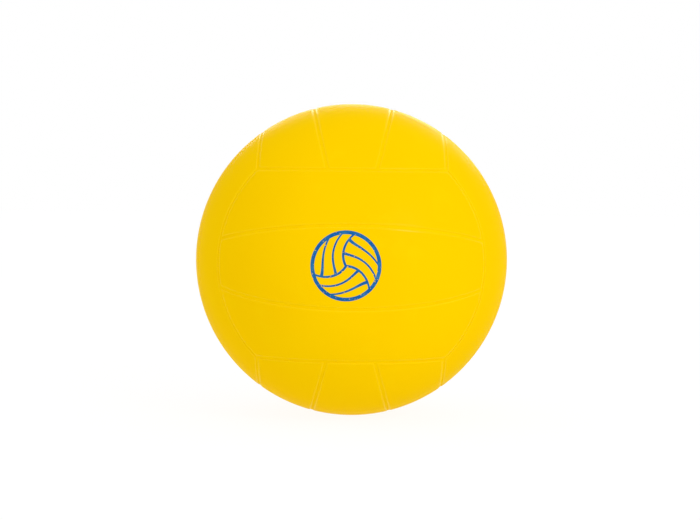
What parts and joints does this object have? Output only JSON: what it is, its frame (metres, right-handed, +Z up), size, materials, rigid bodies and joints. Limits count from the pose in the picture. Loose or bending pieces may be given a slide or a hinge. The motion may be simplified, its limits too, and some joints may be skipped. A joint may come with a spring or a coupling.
{
  "type": "volleyball",
  "caption": "Indoor volleyball with strips of laminated cover in threes on each face, over a rubber carcass, thread winding and bladder with an inflation valve.",
  "frame": {"origin": "centre of the ball", "axes": "+Z up, the face in the picture looks along -Y, +X to its right, +Y out of the inflation valve at the back"},
  "size_m": [0.21, 0.2099, 0.21],
  "materials": {
    "cover": "smooth satin yellow synthetic leather with rolled edges",
    "carcass_rubber": "satin yellow rubber, seen only as the floor of the channels",
    "thread": "off-white nylon thread set in latex",
    "bladder_rubber": "matt black butyl rubber",
    "valve_rubber": "satin black rubber"
  },
  "bodies": {
    "root": {"front_lower_panel": "cover", "front_middle_panel": "cover", "front_upper_panel": "cover", "back_lower_panel": "cover", "back_middle_panel": "cover", "back_upper_panel": "cover", "top_left_panel": "cover", "top_middle_panel": "cover", "top_right_panel": "cover", "bottom_left_panel": "cover", "bottom_middle_panel": "cover", "bottom_right_panel": "cover", "right_front_panel": "cover", "right_middle_panel": "cover", "right_back_panel": "cover", "left_front_panel": "cover", "left_middle_panel": "cover", "left_back_panel": "cover", "rubber_carcass": "carcass_rubber", "thread_winding": "thread", "bladder": "bladder_rubber", "valve_seat": "valve_rubber", "valve_core": "valve_rubber"}
  },
  "joints": []
}
